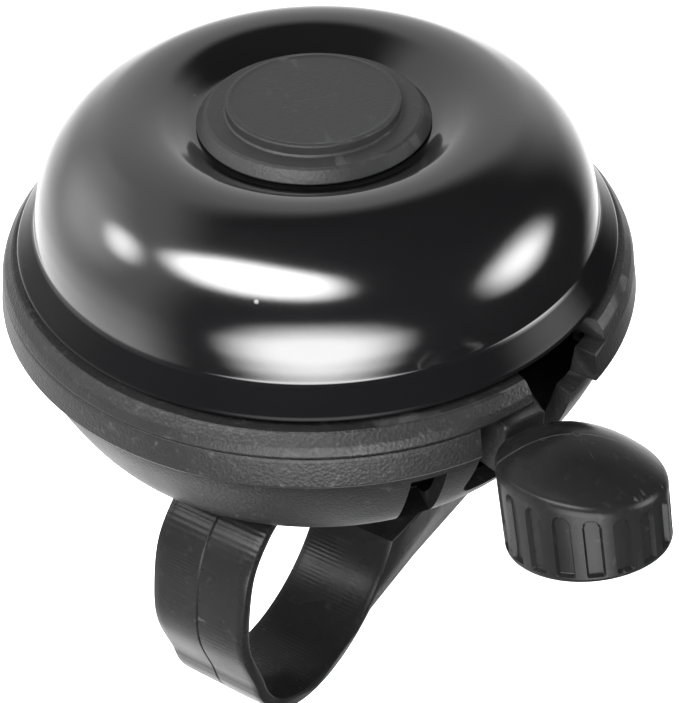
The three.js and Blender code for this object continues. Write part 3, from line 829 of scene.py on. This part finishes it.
class BELL_OT_lever(bpy.types.Operator):
    """Builds the lever's hub, toothed sector, arm and tongue"""

    bl_idname = "bell.lever"
    bl_label = "Thumb lever"

    def execute(self, context):
        arm_outline = rounded(
            [(0, -2.9, 0), (8, -2.9, 1.5), (13.1, -1.9, 0.3), (13.1, 1.9, 0.3), (8, 2.9, 1.5),
             (0, 2.9, 0)], 0.2, 5)
        arm = extruded("lever_arm", arm_outline, -5.8, -0.5)
        soften(arm, 0.25)
        move(arm, Matrix.Rotation(math.radians(ARM_ANGLE), 4, "Z"))
        hub = rod("tool", 2.6, -11.2, -0.55)
        idler = middle_of("idler_pin") - LEVER_PIVOT
        facing = math.degrees(math.atan2(idler.y, idler.x))
        tooth_pitch, root, flank, tip = 10, 11.83, 12.6, 13.1
        teeth = [(0.0, 0.0)]
        for i in range(-3, 2):
            middle = facing + tooth_pitch * i
            teeth += [polar(root, middle - 2.9), polar(flank, middle - 1.9), polar(tip, middle - 1.0),
                      polar(tip, middle + 1.0), polar(flank, middle + 1.9), polar(root, middle + 2.9)]
        sector = extruded("tool", teeth, -11.2, -9.0)
        bore = rod("tool", 1.56, -14, 4)
        combine(arm, [hub, sector], "UNION")
        combine(arm, [bore], "DIFFERENCE")
        move(arm, Matrix.Translation(LEVER_PIVOT))
        tongue = rod("tool", 4.9, -5.2, -2.1)
        move(tongue, at_knob())
        bridge = block("tool", (11.1, -1.9, -5.8), (18, 1.9, -4.1), ARM_ANGLE)
        move(bridge, Matrix.Translation(LEVER_PIVOT))
        combine(arm, [tongue, bridge], "UNION")
        settle(arm, at_bell(), "lever", "grained_plastic", "thumb_lever")
        return {"FINISHED"}


class BELL_OT_knob(bpy.types.Operator):
    """Builds the fluted knob, with arch-topped grooves"""

    bl_idname = "bell.knob"
    bl_label = "Thumb knob"

    def execute(self, context):
        sizes = context.scene.bell_sizes
        radius = sizes.knob_radius / MM
        depth = sizes.flute_depth / MM
        pitch = 360 / sizes.flutes
        arch_foot = -1.7
        arch_rise = 0.9
        flute_foot = -5.6
        crown_rise = 2.75
        crown_reach = radius - 0.5
        knob_height = 6.1
        slope_x, slope_y = 0.19, 0.07
        rows_down, steps_per_flute = 88, 32

        def fluted(r, z, angle):
            if r < radius - 0.3 or z > arch_foot + arch_rise or z < flute_foot:
                return r
            half = 0.28 * pitch
            if z > arch_foot:
                half *= math.sqrt(max(1 - ((z - arch_foot) / arch_rise) ** 2, 0))
            across = abs((angle + pitch / 2) % pitch - pitch / 2)
            edge = 0.045 * pitch
            t = min(max((half + edge / 2 - across) / edge, 0), 1)
            rise = min((arch_foot + arch_rise - z) / 0.2, (z - flute_foot) / 0.12, 1)
            return r - depth * t * t * (3 - 2 * t) * rise

        crown = [(crown_reach * i / 20, crown_rise * (1 - (crown_reach * i / 20 / radius) ** 2))
                 for i in range(21)]
        edge_height = crown[-1][1]
        bevel = smooth_line([(radius - 0.46, edge_height - 0.04), (radius - 0.22, edge_height - 0.25),
                             (radius - 0.06, edge_height - 0.55), (radius, -0.5)], 5)
        side = [(radius, -0.5 - 5.3 * i / rows_down) for i in range(1, rows_down + 1)]
        foot = [(radius - 0.05, -5.95), (radius - 0.2, -6.08), (5.35, -6.08), (5.2, -5.95)]
        ceiling = [(5.2, -1.85), (4, -1.84), (2.8, -1.83), (1.6, -1.82), (0.6, -1.81), (0.0, -1.8)]
        profile = crown + bevel + side + foot + ceiling
        knob = turned("fluted_knob", profile, sizes.flutes * steps_per_flute, reshape=fluted)
        for vertex in knob.data.vertices:
            place = vertex.co
            outside = place.z > -1.7 or math.hypot(place.x, place.y) > 5.5
            if outside:
                share = min(max((place.z + knob_height) / knob_height, 0), 1)
                place.z -= share * (slope_x * place.x + slope_y * place.y)
        mouth = block("tool", (-9, -2.3, -9), (0, 2.3, -1.8), ARM_ANGLE)
        combine(knob, [mouth], "DIFFERENCE")
        settle(knob, at_bell() @ at_knob(), "lever", "band_plastic", "thumb_knob")
        return {"FINISHED"}


def evenly(line, spacing):
    """The line with its points spread at an even spacing."""
    dense = []
    for a, b in zip(line, line[1:]):
        a, b = Vector(a), Vector(b)
        count = max(round((b - a).length / spacing), 1)
        dense += [tuple(a.lerp(b, i / count)) for i in range(count)]
    return dense + [tuple(line[-1])]


def lofted(name, sections):
    """A closed skin over outlines in Y and Z that each stand at their own X."""
    count = len(sections[0][1])
    verts = [(x, y, z) for x, outline in sections for y, z in outline]
    last = (len(sections) - 1) * count
    faces = [tuple(reversed(range(count))), tuple(last + k for k in range(count))]
    for i in range(len(sections) - 1):
        for k in range(count):
            m = (k + 1) % count
            faces.append((i * count + k, i * count + m, (i + 1) * count + m, (i + 1) * count + k))
    return new_piece(name, verts, faces)


class BELL_OT_clamp_strap(bpy.types.Operator):
    """Builds the hinged strap with its lug, faintly ridged and with a parting groove down its middle"""

    bl_idname = "bell.clamp_strap"
    bl_label = "Clamp strap"

    def execute(self, context):
        ridge = context.scene.bell_sizes.ridge_height / MM
        inner = BAR_RADIUS + 0.2
        outer = inner + BAND_THICK
        middle = inner + BAND_THICK / 2
        spacing, ridge_pitch = 0.085, 0.44
        round_start, round_steps = 207, 60
        lug_corner = 5
        lug_top, lug_bottom = -4.3, -10.3
        lug_start = 360 + math.degrees(math.asin(lug_top / inner))
        lug_meets = 360 + math.degrees(math.asin(lug_bottom / outer))
        stand_off = smooth_line(
            [(HINGE.y, HINGE.z), (-12.9, 13.3), (-15.3, 10.1), (-15.8, 5.0), (-15.2, 0.8),
             polar(middle, 198), polar(middle, 206), polar(middle, 214)], 40)[:-62]
        outer_turn = lug_meets - (round_start + lug_corner)
        inner_turn = lug_start - round_start
        outside = beside(stand_off, -BAND_THICK / 2)
        outside += [polar(outer, round_start + i * outer_turn / round_steps)
                    for i in range(round_steps + 1)]
        lug = rounded([outside[-1], (18, lug_bottom + 0.1, 6), (33.6, -10.0, 0.5), (34.4, -9.2, 0.5),
                       (34.4, -4.9, 0.4), (33.8, -4.3, 0.4), polar(inner, lug_start)],
                      0.5, 6, closed=False)[1:-1]
        inside = [polar(inner, lug_start - i * inner_turn / round_steps) for i in range(round_steps + 1)]
        inside += list(reversed(beside(stand_off, BAND_THICK / 2)))
        outside, inside = evenly(outside, spacing), evenly(inside, spacing)

        def ridges(line, offset, across):
            """Fine ridges pressed into a line, fading in and out in patches."""
            cut = []
            for i in range(len(line)):
                along = i * spacing
                patch = 0.5 + 0.5 * math.sin(along * 0.33 + 1.3 * math.sin(across * 0.7) + offset)
                cut.append(ridge * patch * (0.5 - 0.5 * math.cos(2 * math.pi * along / ridge_pitch)))
            return cut

        # How far the skin is drawn in at each X: rounded sides, and the parting groove in the middle.
        trims = (
            (-4.8, 0.2), (-4.74, 0.07), (-4.62, 0.01), (-4.0, 0), (-3.2, 0), (-2.4, 0), (-1.6, 0),
            (-0.8, 0), (-0.16, 0), (-0.1, 0.05), (0.0, 0.13), (0.04, 0.05), (0.1, -0.02), (0.8, -0.02),
            (1.6, -0.02), (2.4, -0.01), (3.2, 0), (4.0, 0), (4.62, 0.01), (4.74, 0.07), (4.8, 0.2))
        sections = []
        for x, trim in trims:
            within = abs(x) > 0.5
            out_depth = [d + trim for d in ridges(outside, 0.4, x)]
            in_depth = [d + (trim if within else 0) for d in ridges(inside, 2.2, x)]
            lug_depth = [trim if within else 0] * len(lug)
            outline = pressed(outside, out_depth) + pressed(lug, lug_depth) + pressed(inside, in_depth)
            sections.append((x, outline))
        strap = lofted("clamp_strap", sections)
        shoulders = [rod_at(HINGE, 1.45, low, low + 4, along="X") for low in (2.4, -6.4)]
        combine(strap, shoulders, "DIFFERENCE")
        combine(strap, [rod_at(HINGE, KNUCKLE_RADIUS, -KNUCKLE_HALF, KNUCKLE_HALF, 64, "X")], "UNION")
        combine(strap, [rod_at(HINGE, 0.66, -9, 9, along="X"), rod_at(SCREW, 2.15, -20, 4)], "DIFFERENCE")
        settle(strap, swung_open(), "band", "band_plastic", "clamp_band")
        return {"FINISHED"}


class BELL_OT_clamp_seat(bpy.types.Operator):
    """Builds the seat block under the bowl, with its hinge ears and hollow leg"""

    bl_idname = "bell.clamp_seat"
    bl_label = "Clamp seat"

    def execute(self, context):
        outline = rounded(
            [(-7.6, 8, 0.2), (13.2, -3.6, 0.2), (30.7, -3.6, 0.6), (31.5, -2.8, 0.6), (31.5, 13.75, 1.2),
             (28.1, 16.15, 0.8), (-7.6, 16.15, 0.2)], 0.3, 5)
        seat = extruded("clamp_seat", outline, -4.8, 4.8, "X")
        ears = []
        for low, high in ((2.6, 3.8), (-3.8, -2.6)):
            round_end = [polar(KNUCKLE_RADIUS, 90 + 10 * i) for i in range(19)]
            round_end = [(HINGE.y + y, HINGE.z + z) for y, z in round_end]
            ears.append(extruded("tool", [(-7, 13.75), (-7, 16.12)] + round_end, low, high, "X"))
        combine(seat, ears, "UNION")
        leg = block("tool", (-3.55, 14.8, -9), (3.55, 29.9, 10.0))
        pocket = block("tool", (-3.5, 19.95, 0), (3.5, 28.05, 13.7))
        bar = rod("tool", BAR_RADIUS + 0.15, -20, 20, 240, "X")
        clear = block("tool", (-20, -12, -9), (20, 13.2, 0.5))
        pin_hole = rod_at(HINGE, 0.62, -9, 9, along="X")
        screws = [rod_at(Vector((0, y, 0)), 1.02, 12.1, 20) for y in (-5.4, 16.6)]
        combine(seat, [bar, clear, leg, pocket, pin_hole] + screws, "DIFFERENCE")
        soften(seat, 0.2, 50)
        settle(seat, Matrix.Identity(4), "base", "band_plastic", "clamp_saddle")
        return {"FINISHED"}


class BELL_OT_clamp_screw(bpy.types.Operator):
    """Builds the clamp's screw with its cross recess and rolled thread"""

    bl_idname = "bell.clamp_screw"
    bl_label = "Clamp screw"

    def execute(self, context):
        steps = 72
        seat = -10.2
        shank_radius, thread_depth = 1.9, 0.3
        head_profile = rounded(
            [(0.0, seat - 2.6, 0), (2.2, seat - 2.5, 0.8), (3.5, seat - 1.5, 0.8), (3.75, seat - 0.2, 0.15),
             (0.0, seat - 0.2, 0)], 0.3, 5)
        head = turned("cross_screw", head_profile, steps)
        pitch = 0.7
        rows = int((12.8 - seat) / pitch * 8)
        verts = []
        for i in range(rows + 1):
            z = seat - 0.5 + (13.5 - seat) * i / rows
            for j in range(steps):
                phase = (z / pitch - j / steps) % 1
                depth = thread_depth * (1 - abs(2 * phase - 1)) if seat + 4 < z < 12.5 else 0.05
                x, y = polar(shank_radius - depth, 360 * j / steps)
                verts.append((x, y, z))
        faces = [tuple(reversed(range(steps))), tuple(rows * steps + j for j in range(steps))]
        for i in range(rows):
            for j in range(steps):
                k = (j + 1) % steps
                faces.append((i * steps + j, i * steps + k, (i + 1) * steps + k, (i + 1) * steps + j))
        shank = new_piece("tool", verts, faces)
        combine(head, [shank], "UNION")
        cross = [block("tool", (-1.7, -0.35, seat - 3), (1.7, 0.35, seat - 1.3), turn) for turn in (0, 90)]
        combine(head, cross, "DIFFERENCE")
        place = swung_open() @ Matrix.Translation(SCREW)
        settle(head, place, "screw", "steel", "clamp_screw")
        return {"FINISHED"}


class BELL_OT_works(bpy.types.Operator):
    """Gives the gears, pins, washers and clappers inside the bell their finishes"""

    bl_idname = "bell.works"
    bl_label = "Works inside"

    def execute(self, context):
        slots = {entry["node"]: entry["material_slot"] for entry in frame["record"]["subparts"]}
        for name, node in frame["nodes"].items():
            material = finish_for(slots[name])
            node.data.materials.clear()
            node.data.materials.append(material)
            for face in node.data.polygons:
                face.use_smooth = True
            node.data.set_sharp_from_angle(angle=math.radians(35))
        return {"FINISHED"}


def glow(name, strength, core):
    """A lamp's diffuser: bright in the middle and fading to nothing at its edge."""
    material = bpy.data.materials.new(name)
    nodes, links = emptied(material)
    place = nodes.new("ShaderNodeTexCoord")
    place.label = "Place on the diffuser"
    fall = nodes.new("ShaderNodeTexGradient")
    fall.label = "Distance from the middle"
    edge = nodes.new("ShaderNodeMapRange")
    edge.label = "Soft edge"
    power = nodes.new("ShaderNodeMath")
    power.label = "Brightness"
    light = nodes.new("ShaderNodeEmission")
    light.label = "Diffuser"
    clear = nodes.new("ShaderNodeBsdfTransparent")
    clear.label = "Clear where unlit"
    both = nodes.new("ShaderNodeAddShader")
    both.label = "Light over the room"
    output = nodes.new("ShaderNodeOutputMaterial")
    output.label = "Lamp"
    lay_out([[place], [fall], [edge], [power], [light, clear], [both], [output]])
    fall.gradient_type = "SPHERICAL"
    edge.interpolation_type = "SMOOTHSTEP"
    edge.inputs["From Max"].default_value = 1 - core
    power.operation = "MULTIPLY"
    power.inputs[1].default_value = strength
    links.new(place.outputs["Object"], fall.inputs["Vector"])
    links.new(fall.outputs["Fac"], edge.inputs["Value"])
    links.new(edge.outputs["Result"], power.inputs[0])
    links.new(power.outputs["Value"], light.inputs["Strength"])
    links.new(light.outputs["Emission"], both.inputs[0])
    links.new(clear.outputs["BSDF"], both.inputs[1])
    links.new(both.outputs["Shader"], output.inputs["Surface"])
    return material


def soft_box(name, direction, size, strength, core, reach=0.5, tilt=0.0):
    """An oval diffuser that faces the bell from an azimuth and elevation in degrees."""
    azimuth, elevation = direction
    width, height = size
    flat, up = polar(1, elevation)
    away = Vector((*polar(flat, azimuth), up))
    aim = away.to_track_quat("Z", "Y").to_matrix().to_4x4() @ Matrix.Rotation(math.radians(tilt), 4, "Z")
    mesh = bpy.data.meshes.new(name)
    mesh.from_pydata([(-1, -1, 0), (1, -1, 0), (1, 1, 0), (-1, 1, 0)], [], [(0, 1, 2, 3)])
    card = bpy.data.objects.new(name, mesh)
    bpy.context.scene.collection.objects.link(card)
    scale = Matrix.Diagonal(Vector((width / 2, height / 2, 1, 1)))
    card.matrix_world = Matrix.Translation(Vector((0, 0.006, 0.037)) + away * reach) @ aim @ scale
    card.data.materials.append(glow(name, strength, core))
    card.visible_camera = False
    card.visible_shadow = False
    return card


def studio_sky(world):
    """Pale screens behind and to the left of the bell, and a dark room in front of it."""
    nodes, links = emptied(world)
    place = nodes.new("ShaderNodeTexCoord")
    place.label = "Direction into the room"
    facing = nodes.new("ShaderNodeVectorMath")
    facing.label = "How far round towards the screens"
    height = nodes.new("ShaderNodeVectorMath")
    height.label = "How high above the screens' slope"
    level = nodes.new("ShaderNodeSeparateXYZ")
    level.label = "How high above the table"
    low = nodes.new("ShaderNodeMapRange")
    low.label = "Brighter towards the table"
    table = nodes.new("ShaderNodeMath")
    table.label = "Screens over a pale table"
    side_edge = nodes.new("ShaderNodeMapRange")
    side_edge.label = "Screens fade out sideways"
    top_edge = nodes.new("ShaderNodeMapRange")
    top_edge.label = "Screens fade out upwards"
    screens = nodes.new("ShaderNodeMath")
    screens.label = "Brightness of the screens"
    room = nodes.new("ShaderNodeMath")
    room.label = "Screens and dim room"
    path = nodes.new("ShaderNodeLightPath")
    path.label = "Seen straight from the camera"
    choice = nodes.new("ShaderNodeMix")
    choice.label = "Pale backdrop for the camera"
    light = nodes.new("ShaderNodeBackground")
    light.label = "Room's light"
    light.inputs["Color"].default_value = (1, 1, 1, 1)
    output = nodes.new("ShaderNodeOutputWorld")
    output.label = "Studio"
    screen_frame = nodes.new("NodeFrame")
    screen_frame.label = "Screens"
    for node in (facing, height, level, side_edge, top_edge, low, screens, table, room):
        node.parent = screen_frame
    lay_out([[place], [facing, height, level], [side_edge, top_edge, low], [screens], [table], [room, path],
             [choice], [light], [output]])
    facing.operation = "DOT_PRODUCT"
    facing.inputs[1].default_value = (*polar(1, 160), 0)
    height.operation = "DOT_PRODUCT"
    height.inputs[1].default_value = (0.3, 0, 0.95)
    low.inputs["From Min"].default_value = -0.4
    low.inputs["From Max"].default_value = 0.1
    low.inputs["To Min"].default_value = 2.2
    low.inputs["To Max"].default_value = 1
    table.operation = "MULTIPLY"
    side_edge.interpolation_type = "SMOOTHSTEP"
    side_edge.inputs["From Min"].default_value = -0.12
    side_edge.inputs["From Max"].default_value = 0.38
    side_edge.inputs["To Max"].default_value = 0.84
    top_edge.interpolation_type = "SMOOTHSTEP"
    top_edge.inputs["From Min"].default_value = 0.55
    top_edge.inputs["From Max"].default_value = 0.78
    top_edge.inputs["To Min"].default_value = 1
    top_edge.inputs["To Max"].default_value = 0
    screens.operation = "MULTIPLY"
    room.operation = "ADD"
    room.inputs[1].default_value = 0.024
    choice.inputs[3].default_value = 0.93
    links.new(place.outputs["Generated"], facing.inputs[0])
    links.new(place.outputs["Generated"], height.inputs[0])
    links.new(place.outputs["Generated"], level.inputs["Vector"])
    links.new(facing.outputs["Value"], side_edge.inputs["Value"])
    links.new(height.outputs["Value"], top_edge.inputs["Value"])
    links.new(level.outputs["Z"], low.inputs["Value"])
    links.new(side_edge.outputs["Result"], screens.inputs[0])
    links.new(top_edge.outputs["Result"], screens.inputs[1])
    links.new(screens.outputs["Value"], table.inputs[0])
    links.new(low.outputs["Result"], table.inputs[1])
    links.new(table.outputs["Value"], room.inputs[0])
    links.new(path.outputs["Is Camera Ray"], choice.inputs["Factor"])
    links.new(room.outputs["Value"], choice.inputs[2])
    links.new(choice.outputs["Result"], light.inputs["Strength"])
    links.new(light.outputs["Background"], output.inputs["Surface"])


class BELL_OT_stage(bpy.types.Operator):
    """Builds the floor, the soft lamps and the camera"""

    bl_idname = "bell.stage"
    bl_label = "Stage"

    def execute(self, context):
        scene = context.scene
        floor = block("floor", (-3000, -3000, -75), (3000, 3000, -70))
        move(floor, Matrix.Scale(MM, 4))
        floor.data.materials.append(painted_floor("floor paint", scene.bell_colours.floor))
        floor.visible_glossy = False
        soft_box("front box", (-94, 56), (0.86, 0.36), strength=22, core=0.4, reach=0.6, tilt=9)
        soft_box("low front box", (-60, -2), (0.74, 0.46), strength=14, core=0.25, reach=0.45)
        soft_box("right box", (25, 14), (0.46, 0.34), strength=13, core=0.1)
        soft_box("left box", (-150, 30), (0.24, 0.18), strength=10, core=0.1)
        soft_box("left glow", (-165, 20), (0.6, 0.5), strength=1.5, core=0.1)

        world = bpy.data.worlds.new("studio")
        scene.world = world
        studio_sky(world)

        lens = bpy.data.cameras.new("camera")
        lens.sensor_fit = "VERTICAL"
        lens.sensor_height = 36
        lens.lens = 75.8
        lens.clip_start = 0.01
        camera = bpy.data.objects.new("camera", lens)
        scene.collection.objects.link(camera)
        eye = Vector((54.95, -81.55, 108.22)) * MM
        target = Vector((-0.61, 7.37, 16.67)) * MM
        aim = (eye - target).to_track_quat("Z", "Y").to_matrix().to_4x4()
        camera.matrix_world = Matrix.Translation(eye) @ aim @ Matrix.Rotation(math.radians(-1.37), 4, "Z")
        scene.camera = camera
        scene.view_settings.view_transform = "Standard"
        return {"FINISHED"}


class BELL_PT_panel(bpy.types.Panel):
    """Lists the bell's sizes, colours and pieces"""

    bl_idname = "BELL_PT_panel"
    bl_label = "Bicycle bell"
    bl_space_type = "VIEW_3D"
    bl_region_type = "UI"
    bl_category = "Bell"

    def draw(self, context):
        for group in (context.scene.bell_sizes, context.scene.bell_colours):
            box = self.layout.box()
            for name in group.__annotations__:
                box.prop(group, name)
        for operator in OPERATORS:
            self.layout.operator(operator.bl_idname)


OPERATORS = (
    BELL_OT_works,
    BELL_OT_dome,
    BELL_OT_cap,
    BELL_OT_rim,
    BELL_OT_base,
    BELL_OT_lever,
    BELL_OT_knob,
    BELL_OT_clamp_strap,
    BELL_OT_clamp_seat,
    BELL_OT_clamp_screw,
    BELL_OT_stage,
)


def register():
    for cls in (BellSizes, BellColours, *OPERATORS, BELL_PT_panel):
        bpy.utils.register_class(cls)
    bpy.types.Scene.bell_sizes = PointerProperty(type=BellSizes)
    bpy.types.Scene.bell_colours = PointerProperty(type=BellColours)


def unregister():
    del bpy.types.Scene.bell_colours
    del bpy.types.Scene.bell_sizes
    for cls in reversed((BellSizes, BellColours, *OPERATORS, BELL_PT_panel)):
        bpy.utils.unregister_class(cls)


def main():
    register()
    for operator in OPERATORS:
        group, name = operator.bl_idname.split(".")
        getattr(getattr(bpy.ops, group), name)()


if __name__ == "__main__":
    main()
